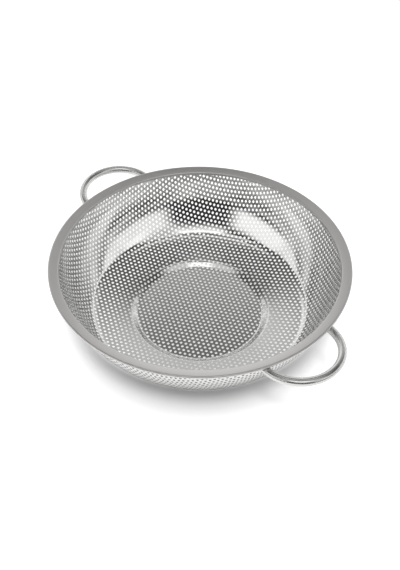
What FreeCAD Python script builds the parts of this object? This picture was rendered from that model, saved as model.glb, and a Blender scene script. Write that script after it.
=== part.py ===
"""Two-handled perforated steel colander: drawn bowl, folded rim band, rod handles and their welds.

Millimetres, +Z up. The origin is the middle of the flat foot that the colander stands on,
and the two handles lie along X.
"""
import FreeCAD
import Part
import Sketcher
import math
import os

from FreeCAD import Vector

# Driving dimensions, one named value each
SIZES = {
    "overall_height": 68.0,
    "rim_diameter": 260.0,
    "band_width": 9.0,
    "band_angle": 11.5,
    "rim_gauge": 0.8,
    "lip_bend": 1.4,
    "lip_drop": 1.2,
    "lip_gap": 0.5,
    "hem_overlap": 4.4,
    "seat_gap": 0.05,
    "sheet_gauge": 0.8,
    "flange_bend": 1.2,
    "flange_relief": 0.5,
    "wall_angle": 82.0,
    "wall_foot_angle": 49.0,
    "wall_bend": 12.0,
    "floor_angle": 9.0,
    "shoulder_bend": 4.0,
    "step_angle": 36.0,
    "step_depth": 4.0,
    "foot_bend": 4.0,
    "foot_flat_radius": 56.0,
    "hole_pitch": 33.0,
    "hole_width": 18.4,
    "hole_land": 1.0,
    "cut_overrun": 8.0,
    "rod_diameter": 7.0,
    "loop_radius": 34.0,
    "loop_setback": 7.0,
    "handle_rise": 4.0,
    "leg_gap": 0.4,
    "weld_length": 2.4,
    "weld_leg": 1.6,
    "weld_steep": 70.0,
    "weld_shallow": 25.0,
    "weld_gap": 0.05,
}

doc = FreeCAD.newDocument("Colander")
sheet = doc.addObject("Spreadsheet::Sheet", "Sizes")
for row, (alias, number) in enumerate(SIZES.items(), start=1):
    sheet.set(f"A{row}", alias)
    sheet.set(f"B{row}", str(number))
    sheet.setAlias(f"B{row}", alias)
doc.recompute()


def size(alias):
    """Read one driving dimension from the sheet."""
    return float(sheet.get(alias))


# Sizes that follow from the driving ones
rim_radius = size("rim_diameter") / 2
rod_radius = size("rod_diameter") / 2
band_slope = math.radians(size("band_angle"))
wall_slope = math.radians(size("wall_angle"))
handle_slope = math.radians(size("handle_rise"))
band_inner_radius = rim_radius - size("band_width")
hem_inside = size("sheet_gauge") / 2 + size("seat_gap")
hem_radius = hem_inside + size("rim_gauge")
hem_centre = Vector(rim_radius - hem_radius, size("overall_height") - hem_radius, 0)
along_band = Vector(math.cos(band_slope), math.sin(band_slope), 0)
below_band = Vector(math.sin(band_slope), -math.cos(band_slope), 0)
flange_end = hem_centre - along_band * size("flange_relief") + below_band * (size("sheet_gauge") / 2)
plate_edge = hem_centre + below_band * hem_radius - along_band * size("hem_overlap")
wall_span = size("sheet_gauge") / math.sin(wall_slope)
mouth_radius = band_inner_radius + size("rim_gauge") + size("lip_gap") + wall_span
rod_height = plate_edge.y - size("weld_gap") - rod_radius / math.cos(handle_slope)
loop_centre = rim_radius - size("loop_setback")
leg_root = math.sqrt((mouth_radius + size("leg_gap")) ** 2 - (size("loop_radius") - rod_radius) ** 2)
leg_length = (loop_centre - leg_root) / math.cos(handle_slope)

# The same sizes as expressions of the sheet
BAND_SIN = "sin(Sizes.band_angle * 1 deg)"
BAND_COS = "cos(Sizes.band_angle * 1 deg)"
RISE_COS = "cos(Sizes.handle_rise * 1 deg)"
RISE_SIN = "sin(Sizes.handle_rise * 1 deg)"
BAND_INNER = "(Sizes.rim_diameter / 2 - Sizes.band_width)"
HEM_INSIDE = "(Sizes.sheet_gauge / 2 + Sizes.seat_gap)"
HEM_RADIUS = f"({HEM_INSIDE} + Sizes.rim_gauge)"
HEM_CENTRE_X = f"(Sizes.rim_diameter / 2 - {HEM_RADIUS})"
HEM_CENTRE_Z = f"(Sizes.overall_height - {HEM_RADIUS})"
FLANGE_X = f"({HEM_CENTRE_X} - Sizes.flange_relief * {BAND_COS} + Sizes.sheet_gauge / 2 * {BAND_SIN})"
FLANGE_Z = f"({HEM_CENTRE_Z} - Sizes.flange_relief * {BAND_SIN} - Sizes.sheet_gauge / 2 * {BAND_COS})"
PLATE_X = f"({HEM_CENTRE_X} + {HEM_RADIUS} * {BAND_SIN} - Sizes.hem_overlap * {BAND_COS})"
PLATE_Z = f"({HEM_CENTRE_Z} - {HEM_RADIUS} * {BAND_COS} - Sizes.hem_overlap * {BAND_SIN})"
WALL_SPAN = "Sizes.sheet_gauge / sin(Sizes.wall_angle * 1 deg)"
MOUTH = f"({BAND_INNER} + Sizes.rim_gauge + Sizes.lip_gap + {WALL_SPAN})"
ROD_HEIGHT = f"({PLATE_Z} - Sizes.weld_gap - Sizes.rod_diameter / 2 / {RISE_COS})"
LOOP_CENTRE = "(Sizes.rim_diameter / 2 - Sizes.loop_setback)"
LEG_ROOT = (
    f"sqrt(({MOUTH} + Sizes.leg_gap) ^ 2"
    " - (Sizes.loop_radius - Sizes.rod_diameter / 2) ^ 2)"
)
LEG_LENGTH = f"(({LOOP_CENTRE} - {LEG_ROOT}) / {RISE_COS})"
WELD_MIDDLE = f"sqrt(({PLATE_X} + Sizes.hem_overlap / 2 * {BAND_COS}) ^ 2 - Sizes.loop_radius ^ 2)"
WELD_START = f"(({WELD_MIDDLE} - {LEG_ROOT}) / {RISE_COS} - Sizes.weld_length / 2)"

# Ends of a sketch edge, as the sketcher counts them
START, END, CENTRE = 1, 2, 3
ORIGIN_POINT = (-1, 1)
HORIZONTAL_AXIS, VERTICAL_AXIS = -1, -2


def heading_vector(angle):
    return Vector(math.cos(angle), math.sin(angle), 0)


def left_of(angle):
    return Vector(-math.sin(angle), math.cos(angle), 0)


def new_body(label, turn=0):
    """Start a body, turned about the bowl's axis."""
    body = doc.addObject("PartDesign::Body", label)
    body.Label = label
    body.Placement = FreeCAD.Placement(Vector(), FreeCAD.Rotation(Vector(0, 0, 1), turn))
    return body


def new_sketch(body, name, role):
    """Start a sketch on one of the body's own origin planes."""
    sketch = body.newObject("Sketcher::SketchObject", name)
    plane = next(feature for feature in body.Origin.OriginFeatures if feature.Role == role)
    sketch.AttachmentSupport = (plane, [""])
    sketch.MapMode = "FlatFace"
    return sketch


def dimension(sketch, name, expression, kind, *places):
    """Add one named dimension to a sketch and bind it to the sheet."""
    index = sketch.addConstraint(Sketcher.Constraint(kind, *places))
    sketch.renameConstraint(index, name)
    sketch.setExpression(f"Constraints.{name}", expression)


def bent_face(sketch, start, heading, runs, offset):
    """Draw one face of a bent sheet's section and return its (edge, first end, last end) chain.

    A run is (length, None) where it is straight, and (radius, heading after it) where it bends.
    """
    chain = []
    point = start + left_of(heading) * offset
    for measure, turned in runs:
        if turned is None:
            corner = point + heading_vector(heading) * measure
            edge = sketch.addGeometry(Part.LineSegment(point, corner), False)
            chain.append((edge, START, END))
            point = corner
            continue
        side = 1 if turned > heading else -1
        radius = measure - side * offset
        centre = point + left_of(heading) * side * radius
        arrival = centre - left_of(turned) * side * radius
        circle = Part.Circle(centre, Vector(0, 0, 1), radius)
        angles = [math.atan2(p.y - centre.y, p.x - centre.x) for p in (point, arrival)]
        if side > 0:
            edge = sketch.addGeometry(Part.ArcOfCircle(circle, angles[0], angles[1]), False)
            chain.append((edge, START, END))
        else:
            edge = sketch.addGeometry(Part.ArcOfCircle(circle, angles[1], angles[0]), False)
            chain.append((edge, END, START))
        point = arrival
        heading = turned
    for (edge, _, last), (following, first, _) in zip(chain, chain[1:]):
        sketch.addConstraint(Sketcher.Constraint("Tangent", edge, last, following, first))
    return chain


def bent_sheet(sketch, start, heading, runs, offset):
    """Draw both faces of a bent sheet's section, bends concentric, closed by a cap at each end."""
    near = bent_face(sketch, start, heading, runs, 0)
    far = bent_face(sketch, start, heading, runs, offset)
    for (near_bend, _, _), (far_bend, _, _) in zip(near[1::2], far[1::2]):
        sketch.addConstraint(Sketcher.Constraint("Coincident", near_bend, CENTRE, far_bend, CENTRE))
    caps = []
    for (near_edge, near_end), (far_edge, far_end) in (
        ((near[0][0], START), (far[0][0], START)),
        ((near[-1][0], END), (far[-1][0], END)),
    ):
        line = Part.LineSegment(sketch.getPoint(near_edge, near_end), sketch.getPoint(far_edge, far_end))
        cap = sketch.addGeometry(line, False)
        sketch.addConstraint(Sketcher.Constraint("Coincident", cap, START, near_edge, near_end))
        sketch.addConstraint(Sketcher.Constraint("Coincident", cap, END, far_edge, far_end))
        caps.append(cap)
    return [edge for edge, _, _ in near], [edge for edge, _, _ in far], caps


def revolve(body, sketch):
    """Turn a section a full circle about the bowl's axis."""
    feature = body.newObject("PartDesign::Revolution", f"{sketch.Name}_turned")
    feature.Profile = sketch
    feature.ReferenceAxis = (sketch, ["V_Axis"])
    feature.Angle = 360.0
    return feature


def across_bend(before, after):
    """How far a bend of radius 1 carries the sheet while its heading turns."""
    across = Vector(math.sin(after) - math.sin(before), math.cos(before) - math.cos(after), 0)
    return across * math.copysign(1, after - before)


def bowl_runs():
    """Straight runs and bends of the bowl's underside, from the axis out to the flange's edge."""
    step = math.radians(size("step_angle"))
    floor = math.radians(size("floor_angle"))
    wall_foot = math.radians(size("wall_foot_angle"))
    foot_corner = across_bend(0, step) * size("foot_bend")
    shoulder = across_bend(step, floor) * size("shoulder_bend")
    step_run = (size("step_depth") - foot_corner.y - shoulder.y) / math.sin(step)
    foot_edge = Vector(size("foot_flat_radius"), 0, 0)
    floor_start = foot_edge + foot_corner + heading_vector(step) * step_run + shoulder
    flange_corner = across_bend(wall_slope, band_slope) * size("flange_bend")
    flange_run = (flange_end.x - mouth_radius - flange_corner.x) / math.cos(band_slope)
    wall_end = flange_end - along_band * flange_run - flange_corner
    # The floor's length and the wall's radius are those that bring the wall to the mouth
    rest = wall_end - floor_start - across_bend(floor, wall_foot) * size("wall_bend")
    wall_arc = across_bend(wall_foot, wall_slope)
    turn = math.cos(floor) * wall_arc.y - math.sin(floor) * wall_arc.x
    floor_run = (rest.x * wall_arc.y - rest.y * wall_arc.x) / turn
    wall_radius = (rest.y * math.cos(floor) - rest.x * math.sin(floor)) / turn
    return [
        (size("foot_flat_radius"), None),
        (size("foot_bend"), step),
        (step_run, None),
        (size("shoulder_bend"), floor),
        (floor_run, None),
        (size("wall_bend"), wall_foot),
        (wall_radius, wall_slope),
        (size("flange_bend"), band_slope),
        (flange_run, None),
    ]


def make_bowl_blank():
    """Drawn bowl before its holes: sunken foot, gently rising floor, bellied wall and rim flange."""
    body = new_body("bowl_blank")
    sketch = new_sketch(body, "bowl_section", "XZ_Plane")
    gauge = size("sheet_gauge")
    near, far, caps = bent_sheet(sketch, Vector(), 0, bowl_runs(), gauge)
    foot, foot_bend, step, shoulder_bend, floor, wall_bend, wall, flange_bend, flange = near
    sketch.addConstraint(Sketcher.Constraint("Coincident", foot, START, *ORIGIN_POINT))
    for edge in (foot, far[0]):
        sketch.addConstraint(Sketcher.Constraint("Horizontal", edge))
    sketch.addConstraint(Sketcher.Constraint("Vertical", caps[0]))
    sketch.addConstraint(Sketcher.Constraint("Parallel", flange, far[-1]))
    sketch.addConstraint(Sketcher.Constraint("Perpendicular", flange, caps[1]))
    for edge, alias in ((step, "step_angle"), (floor, "floor_angle"), (flange, "band_angle")):
        dimension(sketch, alias, f"Sizes.{alias}", "Angle", edge, math.radians(size(alias)))
    spans = (
        ("bend_span", wall_bend, "floor_angle", "wall_foot_angle"),
        ("wall_span", wall, "wall_foot_angle", "wall_angle"),
        ("wall_span_upper", far[6], "wall_foot_angle", "wall_angle"),
    )
    for name, arc, before, after in spans:
        span = math.radians(size(after) - size(before))
        dimension(sketch, name, f"Sizes.{after} - Sizes.{before}", "Angle", arc, span)
    bends = (
        (foot_bend, far[1], "foot_bend", 1),
        (shoulder_bend, far[3], "shoulder_bend", -1),
        (wall_bend, far[5], "wall_bend", 1),
        (flange_bend, far[7], "flange_bend", -1),
    )
    for under, over, alias, side in bends:
        sign = "-" if side > 0 else "+"
        dimension(sketch, alias, f"Sizes.{alias}", "Radius", under, size(alias))
        dimension(
            sketch, f"{alias}_upper", f"Sizes.{alias} {sign} Sizes.sheet_gauge",
            "Radius", over, size(alias) - side * gauge,
        )
    places = (
        ("foot_flat_radius", "Sizes.foot_flat_radius", "DistanceX", foot, END, size("foot_flat_radius")),
        ("step_depth", "Sizes.step_depth", "DistanceY", floor, START, size("step_depth")),
        ("mouth_radius", MOUTH, "DistanceX", wall, END, mouth_radius),
        ("flange_radius", FLANGE_X, "DistanceX", flange, END, flange_end.x),
        ("flange_height", FLANGE_Z, "DistanceY", flange, END, flange_end.y),
    )
    for name, expression, kind, edge, end, number in places:
        dimension(sketch, name, expression, kind, *ORIGIN_POINT, edge, end, number)
    revolve(body, sketch)
    return body


def sheet_stations(steps=60):
    """Walk the sheet's middle surface: (blank radius, distance, radius, height, slope, run number)."""
    middle = size("sheet_gauge") / 2
    stations = [(0, 0, 0, middle, 0, 0)]
    heading = 0
    area = 0
    for number, (measure, turned) in enumerate(bowl_runs()):
        turn = 0 if turned is None else turned - heading
        length = measure if turned is None else (measure - math.copysign(middle, turn)) * abs(turn)
        stretch = length / steps
        for _ in range(steps):
            distance, r, z, slope = stations[-1][1:5]
            mean = slope + turn / steps / 2
            ahead = r + stretch * math.cos(mean)
            area += math.pi * (r + ahead) * stretch
            blank = math.sqrt(area / math.pi)
            climbed = z + stretch * math.sin(mean)
            stations.append((blank, distance + stretch, ahead, climbed, slope + turn / steps, number))
        heading += turn
    return stations


def make_hole_punches():
    """Hexagonal punches on the blank's 60 degree stagger, carried to the drawn sheet area for area."""
    stations = sheet_stations()
    pitch, width = size("hole_pitch"), size("hole_width")
    reach = width / 2 + size("hole_land")
    # The last two runs, the flange and its bend, stay plain
    plain_start = next(station[1] for station in stations if station[5] == stations[-1][5] - 1)
    row_step = pitch * math.sqrt(3) / 2
    rows = int(stations[-1][0] / row_step) + 1
    columns = int(stations[-1][0] / pitch) + rows
    punches = []
    for row in range(-rows, rows + 1):
        for column in range(-columns, columns + 1):
            u = (column + row / 2) * pitch
            v = row * row_step
            blank = math.hypot(u, v)
            passed = next((i for i, station in enumerate(stations) if station[0] > blank), None)
            if passed is None:
                continue
            before, after = stations[max(passed - 1, 0)], stations[passed]
            share = (blank - before[0]) / (after[0] - before[0])
            distance, radius, height, slope = (
                a + (b - a) * share for a, b in zip(before[1:5], after[1:5])
            )
            if distance + reach > plain_start:
                continue
            punches.append(hole_punch(radius, height, slope, math.atan2(v, u)))
    return punches


def hole_punch(radius, height, slope, azimuth):
    """One hexagonal prism square to the sheet, long enough to pass right through it."""
    length = size("sheet_gauge") + 2 * size("cut_overrun")
    corner = size("hole_width") / math.sqrt(3)
    corners = [heading_vector(math.radians(60) * index) * corner for index in range(7)]
    hexagon = Part.makePolygon([point - Vector(0, 0, length / 2) for point in corners])
    prism = Part.Face(hexagon).extrude(Vector(0, 0, length))
    tilt = FreeCAD.Rotation(Vector(0, 1, 0), -math.degrees(slope))
    around = FreeCAD.Rotation(Vector(0, 0, 1), math.degrees(azimuth))
    place = Vector(radius * math.cos(azimuth), radius * math.sin(azimuth), height)
    prism.Placement = FreeCAD.Placement(place, around.multiply(tilt))
    return prism


def make_perforated_bowl():
    """The drawn bowl with its pattern of holes cut through."""
    blank = make_bowl_blank()
    punches = doc.addObject("Part::Feature", "hole_punches")
    punches.Shape = Part.makeCompound(make_hole_punches())
    bowl = doc.addObject("Part::Cut", "perforated_bowl")
    bowl.Base = blank
    bowl.Tool = punches
    bowl.Label = "perforated_bowl"
    return bowl


def make_rim_band():
    """Plain coned band round the mouth: lip turned down inside, edge hemmed under the bowl's flange."""
    body = new_body("rim_band")
    sketch = new_sketch(body, "band_section", "XZ_Plane")
    gauge, lip_bend, lip_drop = size("rim_gauge"), size("lip_bend"), size("lip_drop")
    lip_centre_x = band_inner_radius + lip_bend
    across = hem_centre.x - lip_centre_x
    climb = (math.sin(band_slope) * across - (hem_radius - lip_bend)) / math.cos(band_slope)
    flat_run = math.cos(band_slope) * across + math.sin(band_slope) * climb
    runs = [
        (lip_drop, None),
        (lip_bend, band_slope),
        (flat_run, None),
        (hem_radius, band_slope - math.pi),
        (size("hem_overlap"), None),
    ]
    start = Vector(band_inner_radius, hem_centre.y - climb - lip_drop, 0)
    near, far, caps = bent_sheet(sketch, start, math.pi / 2, runs, -gauge)
    lip, lip_arc, flat, hem_arc, under = near
    for edge in (lip, far[0]):
        sketch.addConstraint(Sketcher.Constraint("Vertical", edge))
    sketch.addConstraint(Sketcher.Constraint("Horizontal", caps[0]))
    sketch.addConstraint(Sketcher.Constraint("Parallel", flat, under))
    sketch.addConstraint(Sketcher.Constraint("Parallel", under, far[-1]))
    sketch.addConstraint(Sketcher.Constraint("Perpendicular", under, caps[1]))
    dimension(sketch, "band_angle", "Sizes.band_angle", "Angle", flat, band_slope)
    dimension(sketch, "lip_drop", "Sizes.lip_drop", "Distance", lip, lip_drop)
    dimension(sketch, "hem_overlap", "Sizes.hem_overlap", "Distance", under, size("hem_overlap"))
    dimension(sketch, "lip_bend", "Sizes.lip_bend", "Radius", lip_arc, lip_bend)
    dimension(sketch, "lip_inside", "Sizes.lip_bend - Sizes.rim_gauge", "Radius", far[1], lip_bend - gauge)
    dimension(sketch, "hem_radius", HEM_RADIUS, "Radius", hem_arc, hem_radius)
    dimension(sketch, "hem_inside", HEM_INSIDE, "Radius", far[3], hem_inside)
    places = (
        ("band_inner_radius", BAND_INNER, "DistanceX", lip, START, band_inner_radius),
        ("hem_centre_radius", HEM_CENTRE_X, "DistanceX", hem_arc, CENTRE, hem_centre.x),
        ("hem_centre_height", HEM_CENTRE_Z, "DistanceY", hem_arc, CENTRE, hem_centre.y),
    )
    for name, expression, kind, edge, end, number in places:
        dimension(sketch, name, expression, kind, *ORIGIN_POINT, edge, end, number)
    revolve(body, sketch)
    return body


def rising_sketch(body, name, role, across, axis):
    """Start a sketch that tilts with the handle, its own axes given for the plane's offset."""
    sketch = new_sketch(body, name, role)
    sketch.AttachmentOffset = FreeCAD.Placement(Vector(), FreeCAD.Rotation(axis, size("handle_rise")))
    sketch.setExpression("AttachmentOffset.Rotation.Angle", "Sizes.handle_rise * 1 deg")
    for direction, expression in across.items():
        sketch.setExpression(f"AttachmentOffset.Base.{direction}", expression)
    return sketch


def make_handle(label, turn):
    """Round rod bent to a half loop, rising slightly, its two straight legs passing under the rim."""
    body = new_body(label, turn)
    loop = size("loop_radius")
    root = {"x": LEG_ROOT, "z": ROD_HEIGHT}
    path = rising_sketch(body, f"{label}_path", "XY_Plane", root, Vector(0, -1, 0))
    bow_ends = [Vector(leg_length, -loop, 0), Vector(leg_length, loop, 0)]
    near_leg = path.addGeometry(Part.LineSegment(Vector(0, -loop, 0), bow_ends[0]), False)
    circle = Part.Circle(Vector(leg_length, 0, 0), Vector(0, 0, 1), loop)
    bow = path.addGeometry(Part.ArcOfCircle(circle, -math.pi / 2, math.pi / 2), False)
    far_leg = path.addGeometry(Part.LineSegment(bow_ends[1], Vector(0, loop, 0)), False)
    path.addConstraint(Sketcher.Constraint("Tangent", near_leg, END, bow, START))
    path.addConstraint(Sketcher.Constraint("Tangent", bow, END, far_leg, START))
    for leg, end in ((near_leg, START), (far_leg, END)):
        path.addConstraint(Sketcher.Constraint("Horizontal", leg))
        path.addConstraint(Sketcher.Constraint("PointOnObject", leg, end, VERTICAL_AXIS))
    path.addConstraint(Sketcher.Constraint("PointOnObject", bow, CENTRE, HORIZONTAL_AXIS))
    dimension(path, "loop_radius", "Sizes.loop_radius", "Radius", bow, loop)
    dimension(path, "leg_length", LEG_LENGTH, "DistanceX", *ORIGIN_POINT, bow, CENTRE, leg_length)

    root = {"y": ROD_HEIGHT, "z": LEG_ROOT}
    section = rising_sketch(body, f"{label}_section", "YZ_Plane", root, Vector(-1, 0, 0))
    rod = section.addGeometry(Part.Circle(Vector(-loop, 0, 0), Vector(0, 0, 1), rod_radius), False)
    section.addConstraint(Sketcher.Constraint("PointOnObject", rod, CENTRE, HORIZONTAL_AXIS))
    dimension(section, "rod_radius", "Sizes.rod_diameter / 2", "Radius", rod, rod_radius)
    dimension(section, "rod_side", "Sizes.loop_radius", "DistanceX", rod, CENTRE, *ORIGIN_POINT, loop)
    doc.recompute()

    sweep = body.newObject("PartDesign::AdditivePipe", f"{label}_rod")
    sweep.Profile = section
    sweep.Spine = (path, ["Edge1", "Edge2", "Edge3"])
    return body


def make_band_underside():
    """Solid cone whose side follows the underside of the band's hem, to trim the welds to it."""
    cone = doc.addObject("Part::Cone", "band_underside")
    cone.setExpression("Radius1", PLATE_X)
    cone.setExpression("Radius2", f"{PLATE_X} + Sizes.rod_diameter / 2 / tan(Sizes.band_angle * 1 deg)")
    cone.setExpression("Height", "Sizes.rod_diameter / 2")
    cone.setExpression("Placement.Base.z", f"{PLATE_Z} - Sizes.weld_gap")
    return cone


def make_welds(label, turn, underside):
    """Fillet welds on both sides of each leg, between the rod and the hem's underside."""
    body = new_body(f"{label}_stock", turn)
    start = {
        "y": f"{ROD_HEIGHT} + {WELD_START} * {RISE_SIN}",
        "z": f"{LEG_ROOT} + {WELD_START} * {RISE_COS}",
    }
    section = rising_sketch(body, f"{label}_section", "YZ_Plane", start, Vector(-1, 0, 0))
    for name, side in (("inner", -1), ("outer", 1)):
        weld_outline(section, name, side)
    pad = body.newObject("PartDesign::Pad", f"{label}_beads")
    pad.Profile = section
    pad.setExpression("Length", "Sizes.weld_length")
    doc.recompute()
    both_legs = body.newObject("PartDesign::Mirrored", f"{label}_both_legs")
    both_legs.Originals = [pad]
    both_legs.MirrorPlane = (section, ["V_Axis"])
    body.Tip = both_legs
    welds = doc.addObject("Part::Cut", label)
    welds.Base = body
    welds.Tool = underside
    welds.Label = label
    return welds


def weld_outline(section, name, side):
    """Section of one weld beside a leg: hollow against the rod, with a sloping face up to its toe."""
    ring = rod_radius + size("weld_gap")
    toe = rod_radius + size("weld_leg")
    centre = Vector(size("loop_radius"), 0, 0)
    angles = {end: math.radians(size(f"weld_{end}")) for end in ("steep", "shallow")}
    touch = {end: Vector(side * ring * math.cos(a), ring * math.sin(a), 0) for end, a in angles.items()}
    corners = [
        centre + touch["steep"],
        centre + touch["shallow"],
        centre + Vector(side * toe, toe, 0),
        centre + Vector(touch["steep"].x, toe, 0),
    ]
    circle = Part.Circle(centre, Vector(0, 0, 1), ring)
    turns = [angles["shallow"], angles["steep"]]
    if side < 0:
        turns = [math.pi - angles["steep"], math.pi - angles["shallow"]]
    hollow = section.addGeometry(Part.ArcOfCircle(circle, *turns), False)
    top_end, low_end = (END, START) if side > 0 else (START, END)
    face = section.addGeometry(Part.LineSegment(corners[1], corners[2]), False)
    top = section.addGeometry(Part.LineSegment(corners[2], corners[3]), False)
    back = section.addGeometry(Part.LineSegment(corners[3], corners[0]), False)
    joins = ((hollow, low_end, face, START), (face, END, top, START), (top, END, back, START))
    for join in joins + ((back, END, hollow, top_end),):
        section.addConstraint(Sketcher.Constraint("Coincident", *join))
    section.addConstraint(Sketcher.Constraint("Horizontal", top))
    section.addConstraint(Sketcher.Constraint("Vertical", back))
    section.addConstraint(Sketcher.Constraint("PointOnObject", hollow, CENTRE, HORIZONTAL_AXIS))
    sign = "+" if side > 0 else "-"
    ring_size = "(Sizes.rod_diameter / 2 + Sizes.weld_gap)"
    toe_size = "(Sizes.rod_diameter / 2 + Sizes.weld_leg)"
    steep_size = f"{ring_size} * sin(Sizes.weld_steep * 1 deg)"
    shallow_size = f"{ring_size} * sin(Sizes.weld_shallow * 1 deg)"
    dimension(section, f"{name}_ring", ring_size, "Radius", hollow, ring)
    places = (
        ("leg", "Sizes.loop_radius", "DistanceX", hollow, CENTRE, centre.x),
        ("steep", steep_size, "DistanceY", hollow, top_end, touch["steep"].y),
        ("shallow", shallow_size, "DistanceY", hollow, low_end, touch["shallow"].y),
        ("toe", f"Sizes.loop_radius {sign} {toe_size}", "DistanceX", face, END, corners[2].x),
        ("top", toe_size, "DistanceY", face, END, toe),
    )
    for place, expression, kind, edge, end, number in places:
        dimension(section, f"{name}_{place}", expression, kind, *ORIGIN_POINT, edge, end, number)


parts = [make_perforated_bowl(), make_rim_band()]
band_underside = make_band_underside()
for side, half_turn in (("right", 0), ("left", 180)):
    parts.append(make_handle(f"{side}_handle", half_turn))
    parts.append(make_welds(f"{side}_handle_welds", half_turn, band_underside))
doc.recompute()

# Every feature has to have solved, and every piece has to be a sound solid
for item in doc.Objects:
    if "Invalid" in item.State or "Error" in item.State:
        raise RuntimeError(f"{item.Label} did not solve: {item.State}")
for part in parts:
    if part.Shape.isNull() or not part.Shape.isValid() or not part.Shape.Solids:
        raise RuntimeError(f"{part.Label} is not a sound solid")

os.makedirs("parts", exist_ok=True)
for part in parts:
    part.Shape.exportStep(f"parts/{part.Label}.step")
    print(f"{part.Label}: {len(part.Shape.Solids)} solid(s), {part.Shape.Volume:.0f} cubic mm")
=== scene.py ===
"""Two-handled perforated steel colander on a white studio floor.

Metres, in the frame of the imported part: +Z up, the foot on the floor at the origin, handles along X.
"""
import math
from collections import namedtuple

import bpy
import numpy as np
from mathutils import Matrix, Vector


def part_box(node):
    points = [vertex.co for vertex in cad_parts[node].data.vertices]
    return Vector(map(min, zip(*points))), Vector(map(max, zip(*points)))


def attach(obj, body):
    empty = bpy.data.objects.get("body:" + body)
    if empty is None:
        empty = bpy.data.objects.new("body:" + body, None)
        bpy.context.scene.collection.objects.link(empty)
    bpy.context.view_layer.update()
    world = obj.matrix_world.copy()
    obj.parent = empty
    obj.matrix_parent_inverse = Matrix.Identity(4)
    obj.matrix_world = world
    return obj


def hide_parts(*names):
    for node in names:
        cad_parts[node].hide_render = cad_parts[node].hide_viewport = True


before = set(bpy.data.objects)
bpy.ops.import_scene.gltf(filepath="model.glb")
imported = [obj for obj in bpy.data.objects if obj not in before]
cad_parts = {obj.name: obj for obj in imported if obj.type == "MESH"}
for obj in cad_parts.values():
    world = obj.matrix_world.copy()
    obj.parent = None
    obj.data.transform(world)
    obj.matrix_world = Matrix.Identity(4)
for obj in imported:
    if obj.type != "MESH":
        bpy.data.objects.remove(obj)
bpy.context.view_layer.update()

# Sizes that the frame gives
rim_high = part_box("rim_band")[1]
RIM_RADIUS = rim_high.y
HEIGHT = rim_high.z

# Sheet and rim sizes, as in the part
SHEET_GAUGE = 0.0008
RIM_GAUGE = 0.0008
BAND_WIDTH = 0.009
BAND_SLOPE = math.radians(11.5)
LIP_BEND = 0.0014
LIP_DROP = 0.0012
LIP_GAP = 0.0005
HEM_OVERLAP = 0.0044
SEAT_GAP = 0.00005
FLANGE_BEND = 0.0012
FLANGE_RELIEF = 0.0005
WALL_SLOPE = math.radians(82.0)
WALL_FOOT_SLOPE = math.radians(49.0)
WALL_BEND = 0.012
FLOOR_SLOPE = math.radians(9.0)
SHOULDER_BEND = 0.004
STEP_SLOPE = math.radians(36.0)
STEP_DEPTH = 0.004
FOOT_BEND = 0.004
FOOT_FLAT_RADIUS = 0.056

# Perforation: round holes on a 60 degree stagger, punched in the flat blank
HOLE_PITCH = 0.00435
HOLE_DIAMETER = 0.0025
HOLE_TURN = math.radians(37.3)
# Twelve sides, which meet the corners and the edges' middles of a hole's hexagonal cell
HOLE_SIDES = 12
# The last runs of the section, the flange's bend and the flange, have no holes
PLAIN_RUNS = 2

# Handle rods
ROD_RADIUS = 0.0035
LOOP_RADIUS = 0.034
LOOP_SETBACK = 0.007
HANDLE_RISE = math.radians(4.0)
LEG_GAP = 0.0004
WELD_GAP = 0.00005

# Steels: colour, least and greatest roughness, scale of the grain and height of its bumps
POLISHED_COLOUR = (0.72, 0.72, 0.71)
POLISHED_ROUGHNESS = (0.09, 0.14)
POLISHED_SCALE = 90.0
POLISHED_BUMP = 0.00002
SATIN_COLOUR = (0.68, 0.67, 0.66)
SATIN_ROUGHNESS = (0.34, 0.42)
SATIN_SCALE = 1800.0
SATIN_BUMP = 0.00001
ROD_COLOUR = (0.70, 0.70, 0.69)
ROD_ROUGHNESS = (0.20, 0.28)
ROD_SCALE = 160.0
ROD_BUMP = 0.00001
WELD_COLOUR = (0.55, 0.54, 0.53)
WELD_ROUGHNESS = (0.35, 0.5)
WELD_SCALE = 900.0
WELD_BUMP = 0.0002

# Grain that all steels share, and the brushed one's stretch in metres of noise for a radian round the rim
GRAIN_DETAIL = 4.0
GRAIN_SHADE = 0.9
GRAIN_LOW = 0.35
GRAIN_HIGH = 0.65
BUMP_STRENGTH = 0.5
BRUSH_STRETCH = 0.012
BRUSH_ANISOTROPY = 0.6

# Floor: its reach, its colour, and its glow, which is graded by the distance from the bowl's axis and fades
# out towards the bowl as a painted shadow round it
FLOOR_REACH = 3.0
FLOOR_CLEARANCE = 0.0004
FLOOR_COLOUR = 0.6
FLOOR_LEVEL = 0.75
FLOOR_GLOW_START = 0.085
FLOOR_GLOW_END = 0.135

# Round patch of painted light on the floor under the bowl, where its shade falls, which shows through the
# holes; set back from the camera and dimmer under the foot
PAINTED_LIGHT_LEVEL = 0.68
PAINTED_LIGHT_RADIUS = 0.14
PAINTED_LIGHT_FADE = 0.02
PAINTED_LIGHT_OFFSET = 0.045
FOOT_PAINTED_LIGHT_LEVEL = 0.42
FOOT_PAINTED_LIGHT_FADE = 0.03

# Camera as the photograph has it, 400 by 570 pixels
CAMERA_AZIMUTH = math.radians(51.0)
CAMERA_ELEVATION = math.radians(43.30)
CAMERA_PITCH = math.radians(45.29)
CAMERA_ROLL = math.radians(0.61)
CAMERA_DISTANCE = 0.680
FOCAL_PIXELS = 791.09
IMAGE_HEIGHT = 570
SENSOR_HEIGHT = 24.0

# Soft spot on the floor round the bowl, from above on the camera's side
LAMP_POWER = 145.0
LAMP_RADIUS = 0.3
LAMP_DISTANCE = 2.0
LAMP_ELEVATION = math.radians(66.0)
LAMP_REACH = 0.2
LAMP_BLEND = 0.6

# Dim light of the room between the panels, on the far side and behind the camera
ROOM_FAR = 0.14
ROOM_NEAR = 0.04
ROOM_FADE = 0.4

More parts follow.
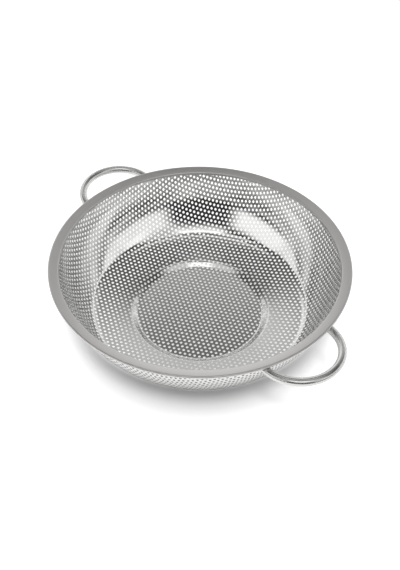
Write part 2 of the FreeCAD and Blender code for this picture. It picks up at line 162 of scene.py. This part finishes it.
# Soft light panels of the room, in degrees and radiance, which stand at the far side at 0 and the right at 90
Panel = namedtuple("Panel", "facing half_width edge low low_fade high high_fade level")
PANELS = [
    Panel(facing=0, half_width=100, edge=10, low=4, low_fade=3, high=26, high_fade=4, level=1.0),
    Panel(facing=-125, half_width=25, edge=8, low=13, low_fade=3, high=33, high_fade=4, level=1.2),
    Panel(facing=125, half_width=25, edge=8, low=13, low_fade=3, high=31, high_fade=4, level=1.0),
    Panel(facing=0, half_width=42, edge=12, low=26, low_fade=4, high=45, high_fade=8, level=0.52),
    Panel(facing=95, half_width=30, edge=10, low=26, low_fade=3, high=34, high_fade=4, level=0.4),
    Panel(facing=135, half_width=22, edge=8, low=30, low_fade=4, high=48, high_fade=5, level=0.6),
    Panel(facing=-20, half_width=9, edge=6, low=28, low_fade=4, high=48, high_fade=5, level=0.5),
    Panel(facing=0, half_width=60, edge=20, low=63, low_fade=2, high=80, high_fade=5, level=0.6),
    Panel(facing=0, half_width=181, edge=0.5, low=76, low_fade=4, high=100, high_fade=2, level=0.12),
    Panel(facing=180, half_width=27, edge=6, low=37, low_fade=4, high=66, high_fade=4, level=1.05),
    Panel(facing=180, half_width=75, edge=15, low=50, low_fade=6, high=76, high_fade=5, level=0.7),
]

# Mesh fineness
TURN_STEPS = 288
ARC_STEP = math.radians(7.5)
ROD_SIDES = 40
ROD_STEP = math.radians(3.0)
RUN_STEPS = 80
SHARP_ANGLE = math.radians(35)
# Cell corners nearer than this share of the pitch are one corner
CORNER_SHARE = 0.001

# Sizes that follow
hem_inside = SHEET_GAUGE / 2 + SEAT_GAP
hem_radius = hem_inside + RIM_GAUGE
hem_centre = np.array((RIM_RADIUS - hem_radius, HEIGHT - hem_radius))
along_band = np.array((math.cos(BAND_SLOPE), math.sin(BAND_SLOPE)))
below_band = np.array((math.sin(BAND_SLOPE), -math.cos(BAND_SLOPE)))
band_inner_radius = RIM_RADIUS - BAND_WIDTH
mouth_radius = band_inner_radius + RIM_GAUGE + LIP_GAP + SHEET_GAUGE / math.sin(WALL_SLOPE)
plate_edge = hem_centre + below_band * hem_radius - along_band * HEM_OVERLAP


def heading(angle):
    return np.array((math.cos(angle), math.sin(angle)))


def left_of(angle):
    return np.array((-math.sin(angle), math.cos(angle)))


def across_bend(before, after):
    """How far a bend of radius 1 carries a section while its heading turns."""
    across = np.array((math.sin(after) - math.sin(before), math.cos(before) - math.cos(after)))
    return across * math.copysign(1, after - before)


def bowl_runs():
    """Runs of the bowl's underside from the axis out.

    A straight run is (length, None) and a bend is (radius, heading after it).
    """
    foot_corner = across_bend(0, STEP_SLOPE) * FOOT_BEND
    shoulder = across_bend(STEP_SLOPE, FLOOR_SLOPE) * SHOULDER_BEND
    step_run = (STEP_DEPTH - foot_corner[1] - shoulder[1]) / math.sin(STEP_SLOPE)
    foot_edge = np.array((FOOT_FLAT_RADIUS, 0))
    floor_start = foot_edge + foot_corner + heading(STEP_SLOPE) * step_run + shoulder
    flange_end = hem_centre - along_band * FLANGE_RELIEF + below_band * SHEET_GAUGE / 2
    flange_corner = across_bend(WALL_SLOPE, BAND_SLOPE) * FLANGE_BEND
    flange_run = (flange_end[0] - mouth_radius - flange_corner[0]) / math.cos(BAND_SLOPE)
    wall_end = flange_end - along_band * flange_run - flange_corner
    # The floor's length and the wall's radius are those that bring the wall to the mouth
    rest = wall_end - floor_start - across_bend(FLOOR_SLOPE, WALL_FOOT_SLOPE) * WALL_BEND
    ways = np.array((heading(FLOOR_SLOPE), across_bend(WALL_FOOT_SLOPE, WALL_SLOPE)))
    floor_run, wall_radius = np.linalg.solve(ways.T, rest)
    return [
        (FOOT_FLAT_RADIUS, None),
        (FOOT_BEND, STEP_SLOPE),
        (step_run, None),
        (SHOULDER_BEND, FLOOR_SLOPE),
        (floor_run, None),
        (WALL_BEND, WALL_FOOT_SLOPE),
        (wall_radius, WALL_SLOPE),
        (FLANGE_BEND, BAND_SLOPE),
        (flange_run, None),
    ]


def walk_sheet():
    """Walk the sheet's middle surface and return its stations and the station where the wall ends.

    Each station is (blank radius, radius, height, slope). A drawn sheet keeps its area, so the
    blank radius is that of the flat disc with the area walked so far.
    """
    radius, height, slope, area = 0.0, SHEET_GAUGE / 2, 0.0, 0.0
    stations = [(0.0, radius, height, slope)]
    runs = bowl_runs()
    for measure, turned in runs:
        turn = 0.0 if turned is None else turned - slope
        length = measure
        if turned is not None:
            length = (measure - math.copysign(SHEET_GAUGE / 2, turn)) * abs(turn)
        stretch = length / RUN_STEPS
        for _ in range(RUN_STEPS):
            mean = slope + turn / RUN_STEPS / 2
            ahead = radius + stretch * math.cos(mean)
            height += stretch * math.sin(mean)
            area += math.pi * (radius + ahead) * stretch
            radius, slope = ahead, slope + turn / RUN_STEPS
            stations.append((math.sqrt(area / math.pi), radius, height, slope))
    return np.array(stations), (len(runs) - PLAIN_RUNS) * RUN_STEPS


def new_object(name, vertices, faces, material, normals=None):
    """Make a smooth mesh object, with the given loop normals if there are any."""
    mesh = bpy.data.meshes.new(name)
    mesh.from_pydata(vertices, [], faces)
    mesh.polygons.foreach_set("use_smooth", [True] * len(mesh.polygons))
    if normals is not None:
        mesh.normals_split_custom_set(normals)
    mesh.materials.append(material)
    mesh.update()
    piece = bpy.data.objects.new(name, mesh)
    bpy.context.scene.collection.objects.link(piece)
    return piece


def dress(piece, node):
    """Set a finished piece in the place of its node."""
    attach(piece, "root")
    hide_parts(node)


def perforation(blank_edge):
    """Flat holed blank: its points, its faces, its holes' sides, its holes' centres and each side's hole."""
    row_step = HOLE_PITCH * math.sqrt(3) / 2
    reach = int(blank_edge / row_step) + 2
    rows, columns = np.mgrid[-reach:reach + 1, -2 * reach:2 * reach + 1]
    centres = np.stack(((columns + rows / 2) * HOLE_PITCH, rows * row_step), axis=-1).reshape(-1, 2)
    centres = centres[np.hypot(*centres.T) < blank_edge + HOLE_PITCH / math.sqrt(3)]

    # Each hole has a cell with a corner or an edge's middle at every side's angle
    angles = np.arange(HOLE_SIDES) * 2 * math.pi / HOLE_SIDES
    spokes = np.stack((np.cos(angles), np.sin(angles)), axis=-1)
    cell = np.where(np.arange(HOLE_SIDES) % 2 == 0, HOLE_PITCH / 2, HOLE_PITCH / math.sqrt(3))
    rings = [
        spokes * HOLE_DIAMETER / 2,
        spokes * (HOLE_DIAMETER / 2 + cell)[:, None] / 2,
        spokes * cell[:, None],
    ]
    count = len(centres) * HOLE_SIDES
    inner, middle, outer = ((centres[:, None, :] + ring).reshape(-1, 2) for ring in rings)
    places = np.round(outer / (HOLE_PITCH * CORNER_SHARE)).astype(int)
    _, first, shared = np.unique(places, axis=0, return_index=True, return_inverse=True)
    points = np.concatenate((inner, middle, outer[first]))
    ids = np.arange(count).reshape(-1, HOLE_SIDES)
    ring_ids = [ids, ids + count, shared.reshape(-1, HOLE_SIDES) + 2 * count]
    turn = np.array((heading(HOLE_TURN), left_of(HOLE_TURN)))
    bands = [
        np.stack((near, far, np.roll(far, -1, 1), np.roll(near, -1, 1)), axis=-1).reshape(-1, 4)
        for near, far in zip(ring_ids, ring_ids[1:])
    ]
    walls = np.stack((ids, np.roll(ids, -1, 1)), axis=-1).reshape(-1, 2)
    hole_of = np.repeat(np.arange(len(centres)), HOLE_SIDES)
    return points @ turn, np.concatenate(bands), walls, centres @ turn, hole_of


def drawn(points, stations, blank_edge):
    """Carry flat blank points to the drawn sheet's middle surface, with normals, held inside its edge."""
    blank = np.minimum(np.hypot(*points.T), blank_edge)
    azimuth = np.arctan2(points[:, 1], points[:, 0])
    radius, height, slope = (np.interp(blank, stations[:, 0], stations[:, k]) for k in (1, 2, 3))
    places = np.stack((radius * np.cos(azimuth), radius * np.sin(azimuth), height), axis=-1)
    lean = -np.sin(slope)
    normals = np.stack((lean * np.cos(azimuth), lean * np.sin(azimuth), np.cos(slope)), axis=-1)
    return places, normals


def make_bowl(material):
    """Drawn bowl of finely perforated sheet, with a plain flange inside the rim's fold."""
    stations, wall_end = walk_sheet()
    blank_edge = stations[wall_end, 0]
    points, tops, walls, centres, hole_of = perforation(blank_edge)
    places, normals = drawn(points, stations, blank_edge)
    half = normals * SHEET_GAUGE / 2
    count = len(points)
    at_edge = np.hypot(*points.T) >= blank_edge
    tops = tops[~at_edge[tops].all(axis=1)]
    open_side = ~at_edge[walls].all(axis=1)
    walls, hole_of = walls[open_side], hole_of[open_side]
    bottoms = tops[:, ::-1] + count
    hole_walls = np.stack((walls[:, 0], walls[:, 1], walls[:, 1] + count, walls[:, 0] + count), axis=-1)

    # The sheet's upper edge, where the plain flange begins
    edges = np.stack((tops, np.roll(tops, -1, 1)), axis=-1).reshape(-1, 2)
    edges = edges[at_edge[edges].all(axis=1) & (edges[:, 0] != edges[:, 1])]
    rims = np.stack((edges[:, 0], edges[:, 0] + count, edges[:, 1] + count, edges[:, 1]), axis=-1)

    vertices = np.concatenate((places + half, places - half))
    faces = np.concatenate((tops, bottoms, hole_walls, rims))
    both = np.concatenate((normals, -normals))
    hole_places, _ = drawn(centres, stations, blank_edge)
    inward = hole_places[hole_of][:, None, :] - vertices[hole_walls]
    inward /= np.linalg.norm(inward, axis=-1, keepdims=True)
    outward = vertices[rims] * (1, 1, 0)
    outward /= np.linalg.norm(outward, axis=-1, keepdims=True)
    loops = np.concatenate((both[tops], both[bottoms], inward, outward)).reshape(-1, 3)

    bowl = new_object("bowl_sheet", vertices.tolist(), faces.tolist(), material, loops.tolist())
    dress(bowl, "perforated_bowl")
    flange = stations[wall_end:]
    lean = np.stack((-np.sin(flange[:, 3]), np.cos(flange[:, 3])), axis=-1) * SHEET_GAUGE / 2
    section = np.concatenate((flange[:, 1:3] + lean, (flange[:, 1:3] - lean)[::-1]))
    ring = turned_piece("bowl_flange", section, material)
    dress(ring, "perforated_bowl")


def turned_piece(name, section, material):
    """Turn a closed section of (radius, height) points a full circle about the axis."""
    azimuths = np.arange(TURN_STEPS) * 2 * math.pi / TURN_STEPS
    radius, height = section[:, 0], section[:, 1]
    vertices = np.stack((
        np.outer(np.cos(azimuths), radius),
        np.outer(np.sin(azimuths), radius),
        np.tile(height, (TURN_STEPS, 1)),
    ), axis=-1).reshape(-1, 3)
    size = len(section)
    ids = np.arange(TURN_STEPS * size).reshape(TURN_STEPS, size)
    ahead = np.roll(ids, -1, 0)
    faces = np.stack((ids, np.roll(ids, -1, 1), np.roll(ahead, -1, 1), ahead), axis=-1).reshape(-1, 4)
    area = np.sum(radius * np.roll(height, -1) - np.roll(radius, -1) * height)
    if area > 0:
        faces = faces[:, ::-1]
    piece = new_object(name, vertices.tolist(), faces.tolist(), material)
    piece.data.set_sharp_from_angle(angle=SHARP_ANGLE)
    return piece


def bent_face(start, angle, runs, offset):
    """Points along one face of a bent strip's section."""
    point = start + left_of(angle) * offset
    points = [point]
    for measure, turned in runs:
        if turned is None:
            point = point + heading(angle) * measure
            points.append(point)
            continue
        side = math.copysign(1, turned - angle)
        radius = measure - side * offset
        centre = point + left_of(angle) * side * radius
        steps = max(2, round(abs(turned - angle) / ARC_STEP))
        for step in range(1, steps + 1):
            swing = angle + (turned - angle) * step / steps
            points.append(centre - left_of(swing) * side * radius)
        point, angle = points[-1], turned
    return points


def make_rim(material):
    """Coned satin band round the mouth: lip turned down inside, edge hemmed under the bowl's flange."""
    across = hem_centre[0] - band_inner_radius - LIP_BEND
    climb = (math.sin(BAND_SLOPE) * across - (hem_radius - LIP_BEND)) / math.cos(BAND_SLOPE)
    flat_run = math.cos(BAND_SLOPE) * across + math.sin(BAND_SLOPE) * climb
    runs = [
        (LIP_DROP, None),
        (LIP_BEND, BAND_SLOPE),
        (flat_run, None),
        (hem_radius, BAND_SLOPE - math.pi),
        (HEM_OVERLAP, None),
    ]
    start = np.array((band_inner_radius, hem_centre[1] - climb - LIP_DROP))
    outside = bent_face(start, math.pi / 2, runs, 0)
    inside = bent_face(start, math.pi / 2, runs, -RIM_GAUGE)
    rim = turned_piece("rim_strip", np.array(outside + inside[::-1]), material)
    dress(rim, "rim_band")


def make_handle(name, node, turn, material):
    """Round rod bent to a half loop that rises slightly from under the band."""
    loop_centre = RIM_RADIUS - LOOP_SETBACK
    leg_root = math.sqrt((mouth_radius + LEG_GAP) ** 2 - (LOOP_RADIUS - ROD_RADIUS) ** 2)
    leg = (loop_centre - leg_root) / math.cos(HANDLE_RISE)
    rod_height = plate_edge[1] - WELD_GAP - ROD_RADIUS / math.cos(HANDLE_RISE)
    steps = round(math.pi / ROD_STEP)
    swings = [math.pi * step / steps - math.pi / 2 for step in range(steps + 1)]
    path = [(Vector((0, -LOOP_RADIUS, 0)), Vector((1, 0, 0)))]
    for swing in swings:
        place = Vector((leg + LOOP_RADIUS * math.cos(swing), LOOP_RADIUS * math.sin(swing), 0))
        path.append((place, Vector((-math.sin(swing), math.cos(swing), 0))))
    path.append((Vector((0, LOOP_RADIUS, 0)), Vector((-1, 0, 0))))
    tilt = Matrix.Rotation(turn, 4, "Z") @ Matrix.Translation((leg_root, 0, rod_height))
    tilt = tilt @ Matrix.Rotation(-HANDLE_RISE, 4, "Y")
    vertices = []
    for place, direction in path:
        side = direction.cross(Vector((0, 0, 1)))
        for index in range(ROD_SIDES):
            angle = 2 * math.pi * index / ROD_SIDES
            spoke = side * math.cos(angle) + Vector((0, 0, 1)) * math.sin(angle)
            vertices.append(tilt @ (place + spoke * ROD_RADIUS))
    faces = []
    for ring in range(len(path) - 1):
        for index in range(ROD_SIDES):
            near, far = ring * ROD_SIDES + index, ring * ROD_SIDES + (index + 1) % ROD_SIDES
            faces.append((near, far, far + ROD_SIDES, near + ROD_SIDES))
    faces.append(tuple(range(ROD_SIDES))[::-1])
    faces.append(tuple(range(len(vertices) - ROD_SIDES, len(vertices))))
    rod = new_object(name, vertices, faces, material)
    rod.data.set_sharp_from_angle(angle=SHARP_ANGLE)
    dress(rod, node)


class Nodes:
    """Short way to add and join the nodes of one material or world."""

    def __init__(self, tree):
        self.tree = tree

    def add(self, kind, inputs=None, **settings):
        node = self.tree.nodes.new(kind)
        for name, value in settings.items():
            setattr(node, name, value)
        for name, value in (inputs or {}).items():
            socket = node.inputs[name]
            if isinstance(value, bpy.types.NodeSocket):
                self.tree.links.new(value, socket)
            else:
                socket.default_value = value
        return node

    def math(self, operation, *values):
        return self.add("ShaderNodeMath", dict(enumerate(values)), operation=operation).outputs[0]

    def ramp(self, value, low, high, start, end):
        inputs = {"Value": value, "From Min": low, "From Max": high, "To Min": start, "To Max": end}
        return self.add("ShaderNodeMapRange", inputs, interpolation_type="SMOOTHSTEP").outputs[0]


def steel(name, colour, roughness, scale, bump, brushed=False):
    """Stainless steel whose fine grain runs round the axis where it is brushed, and is cloudy where not."""
    material = bpy.data.materials.new(name)
    material.use_nodes = True
    nodes = Nodes(material.node_tree)
    links = material.node_tree.links
    shader = material.node_tree.nodes["Principled BSDF"]
    shader.inputs["Metallic"].default_value = 1.0
    place = nodes.add("ShaderNodeTexCoord").outputs["Object"]
    if brushed:
        x, y, z = nodes.add("ShaderNodeSeparateXYZ", {"Vector": place}).outputs
        squares = nodes.math("ADD", nodes.math("MULTIPLY", x, x), nodes.math("MULTIPLY", y, y))
        radius = nodes.math("SQRT", squares)
        around = nodes.math("MULTIPLY", nodes.math("ARCTAN2", y, x), BRUSH_STRETCH)
        place = nodes.add("ShaderNodeCombineXYZ", {"X": radius, "Y": around, "Z": z}).outputs[0]
        shader.inputs["Anisotropic"].default_value = BRUSH_ANISOTROPY
        tangent = nodes.add("ShaderNodeTangent", direction_type="RADIAL", axis="Z").outputs[0]
        links.new(tangent, shader.inputs["Tangent"])
    noise = nodes.add("ShaderNodeTexNoise", {"Vector": place, "Scale": scale, "Detail": GRAIN_DETAIL})
    grain = noise.outputs["Fac"]
    dark = tuple(GRAIN_SHADE * c for c in colour)
    tints = {"Factor": grain, "A": (*dark, 1), "B": (*colour, 1)}
    tint = nodes.add("ShaderNodeMix", tints, data_type="RGBA")
    dull = nodes.ramp(grain, GRAIN_LOW, GRAIN_HIGH, *roughness)
    uneven = nodes.add("ShaderNodeBump", {"Height": grain, "Distance": bump, "Strength": BUMP_STRENGTH})
    links.new(tint.outputs["Result"], shader.inputs["Base Color"])
    links.new(dull, shader.inputs["Roughness"])
    links.new(uneven.outputs["Normal"], shader.inputs["Normal"])
    return material


def towards_camera():
    """Level direction from the bowl's axis to the camera."""
    return Vector((math.sin(CAMERA_AZIMUTH), -math.cos(CAMERA_AZIMUTH), 0))


def make_floor():
    """Pale floor that takes the shadow, with a glow that the camera sees and metal mirrors.

    The glow makes it white away from the bowl and fades towards the bowl, a painted shadow round it; under
    the bowl it is a round patch of painted light, dimmer under the foot.
    """
    corners = [
        (-FLOOR_REACH, -FLOOR_REACH, 0),
        (FLOOR_REACH, -FLOOR_REACH, 0),
        (FLOOR_REACH, FLOOR_REACH, 0),
        (-FLOOR_REACH, FLOOR_REACH, 0),
    ]
    material = bpy.data.materials.new("floor_white")
    material.use_nodes = True
    nodes = Nodes(material.node_tree)
    material.node_tree.nodes.clear()
    path = nodes.add("ShaderNodeLightPath").outputs
    mirrored = nodes.math("MAXIMUM", path["Is Glossy Ray"], path["Is Transmission Ray"])
    seen = nodes.math("MAXIMUM", mirrored, path["Is Camera Ray"])
    place = nodes.add("ShaderNodeTexCoord").outputs["Object"]
    # Painted light: a round patch of glow on the floor under the bowl, where its shade falls, which shows
    # through the holes
    middle = towards_camera() * -PAINTED_LIGHT_OFFSET
    far = nodes.add("ShaderNodeVectorMath", {0: place, 1: middle}, operation="DISTANCE").outputs["Value"]
    painted_light = nodes.ramp(far, PAINTED_LIGHT_RADIUS - PAINTED_LIGHT_FADE, PAINTED_LIGHT_RADIUS, PAINTED_LIGHT_LEVEL, 0.0)
    reach = nodes.add("ShaderNodeVectorMath", {0: place}, operation="LENGTH").outputs["Value"]
    # Less of this painted light under the foot
    foot_edge = FOOT_FLAT_RADIUS + FOOT_PAINTED_LIGHT_FADE
    painted_light_dimmer = nodes.ramp(reach, FOOT_FLAT_RADIUS, foot_edge, PAINTED_LIGHT_LEVEL - FOOT_PAINTED_LIGHT_LEVEL, 0.0)
    # Glow that makes the floor white away from the bowl and fades to none towards it: a painted shadow round
    # the bowl
    outside = nodes.ramp(reach, FLOOR_GLOW_START, FLOOR_GLOW_END, 0.0, FLOOR_LEVEL)
    # Painted light under the bowl, or the glow with its painted shadow, whichever is brighter
    level = nodes.math("MAXIMUM", nodes.math("SUBTRACT", painted_light, painted_light_dimmer), outside)
    glow = nodes.add("ShaderNodeEmission", {"Strength": nodes.math("MULTIPLY", seen, level)}).outputs[0]
    colour = (FLOOR_COLOUR, FLOOR_COLOUR, FLOOR_COLOUR, 1)
    matt = nodes.add("ShaderNodeBsdfDiffuse", {"Color": colour}).outputs[0]
    both = nodes.add("ShaderNodeAddShader", {0: matt, 1: glow}).outputs[0]
    nodes.add("ShaderNodeOutputMaterial", {"Surface": both})
    floor = new_object("floor", corners, [(0, 1, 2, 3)], material)
    floor.location.z = -FLOOR_CLEARANCE


def make_camera():
    """Camera that looks down at the bowl from the photograph's side."""
    data = bpy.data.cameras.new("camera")
    data.sensor_fit = "VERTICAL"
    data.sensor_height = SENSOR_HEIGHT
    data.lens = FOCAL_PIXELS / IMAGE_HEIGHT * SENSOR_HEIGHT
    camera = bpy.data.objects.new("camera", data)
    bpy.context.scene.collection.objects.link(camera)
    back = towards_camera() * math.cos(CAMERA_ELEVATION) + Vector((0, 0, math.sin(CAMERA_ELEVATION)))
    turn = Matrix.Rotation(CAMERA_AZIMUTH, 4, "Z") @ Matrix.Rotation(math.pi / 2 - CAMERA_PITCH, 4, "X")
    camera.matrix_world = Matrix.Translation(Vector((0, 0, HEIGHT)) + back * CAMERA_DISTANCE) @ turn
    camera.matrix_world = camera.matrix_world @ Matrix.Rotation(CAMERA_ROLL, 4, "Z")
    bpy.context.scene.camera = camera


def make_world():
    """Dim room with soft light panels round it."""
    world = bpy.data.worlds.new("studio")
    world.use_nodes = True
    bpy.context.scene.world = world
    nodes = Nodes(world.node_tree)
    way = nodes.add("ShaderNodeTexCoord").outputs["Generated"]
    turning = {"Vector": way, "Angle": -CAMERA_AZIMUTH}
    turned = nodes.add("ShaderNodeVectorRotate", turning, rotation_type="Z_AXIS")
    right, ahead, up = nodes.add("ShaderNodeSeparateXYZ", {"Vector": turned.outputs[0]}).outputs
    around = nodes.math("ARCTAN2", right, ahead)
    height = nodes.math("ARCSINE", up)
    total = nodes.ramp(ahead, -ROOM_FADE, ROOM_FADE, ROOM_NEAR, ROOM_FAR)
    for panel in PANELS:
        facing, half_width, edge, low, low_fade, high, high_fade = map(math.radians, panel[:-1])
        swing = nodes.math("WRAP", nodes.math("SUBTRACT", around, facing), math.pi, -math.pi)
        aside = nodes.math("ABSOLUTE", swing)
        across = nodes.ramp(aside, half_width - edge, half_width + edge, panel.level, 0.0)
        above = nodes.ramp(height, low - low_fade, low + low_fade, 0.0, 1.0)
        below = nodes.ramp(height, high - high_fade, high + high_fade, 1.0, 0.0)
        light = nodes.math("MULTIPLY", across, nodes.math("MULTIPLY", above, below))
        total = nodes.math("ADD", total, light)
    room = world.node_tree.nodes["Background"]
    room.inputs["Color"].default_value = (1, 1, 1, 1)
    world.node_tree.links.new(total, room.inputs["Strength"])


def make_floor_lamp():
    """Soft spot that lights the floor round the bowl and casts its shadow, and shows in no metal."""
    data = bpy.data.lights.new("floor_lamp", "SPOT")
    data.energy = LAMP_POWER
    data.shadow_soft_size = LAMP_RADIUS
    data.spot_size = 2 * math.atan2(LAMP_REACH, LAMP_DISTANCE)
    data.spot_blend = LAMP_BLEND
    lamp = bpy.data.objects.new("floor_lamp", data)
    bpy.context.scene.collection.objects.link(lamp)
    way = towards_camera() * math.cos(LAMP_ELEVATION) + Vector((0, 0, math.sin(LAMP_ELEVATION)))
    lamp.location = way * LAMP_DISTANCE
    lamp.rotation_euler = way.to_track_quat("Z", "Y").to_euler()
    lamp.visible_glossy = False


polished = steel("polished_steel", POLISHED_COLOUR, POLISHED_ROUGHNESS, POLISHED_SCALE, POLISHED_BUMP)
satin = steel("satin_steel", SATIN_COLOUR, SATIN_ROUGHNESS, SATIN_SCALE, SATIN_BUMP, brushed=True)
rods = steel("rod_steel", ROD_COLOUR, ROD_ROUGHNESS, ROD_SCALE, ROD_BUMP)
weld = steel("weld_steel", WELD_COLOUR, WELD_ROUGHNESS, WELD_SCALE, WELD_BUMP)

make_bowl(polished)
make_rim(satin)
for side, turn in (("right", 0), ("left", math.pi)):
    make_handle(f"{side}_rod", f"{side}_handle", turn, rods)
    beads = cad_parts[f"{side}_handle_welds"]
    beads.data.materials.clear()
    beads.data.materials.append(weld)

make_floor()
make_camera()
make_world()
make_floor_lamp()

bpy.context.scene.view_settings.view_transform = "Standard"
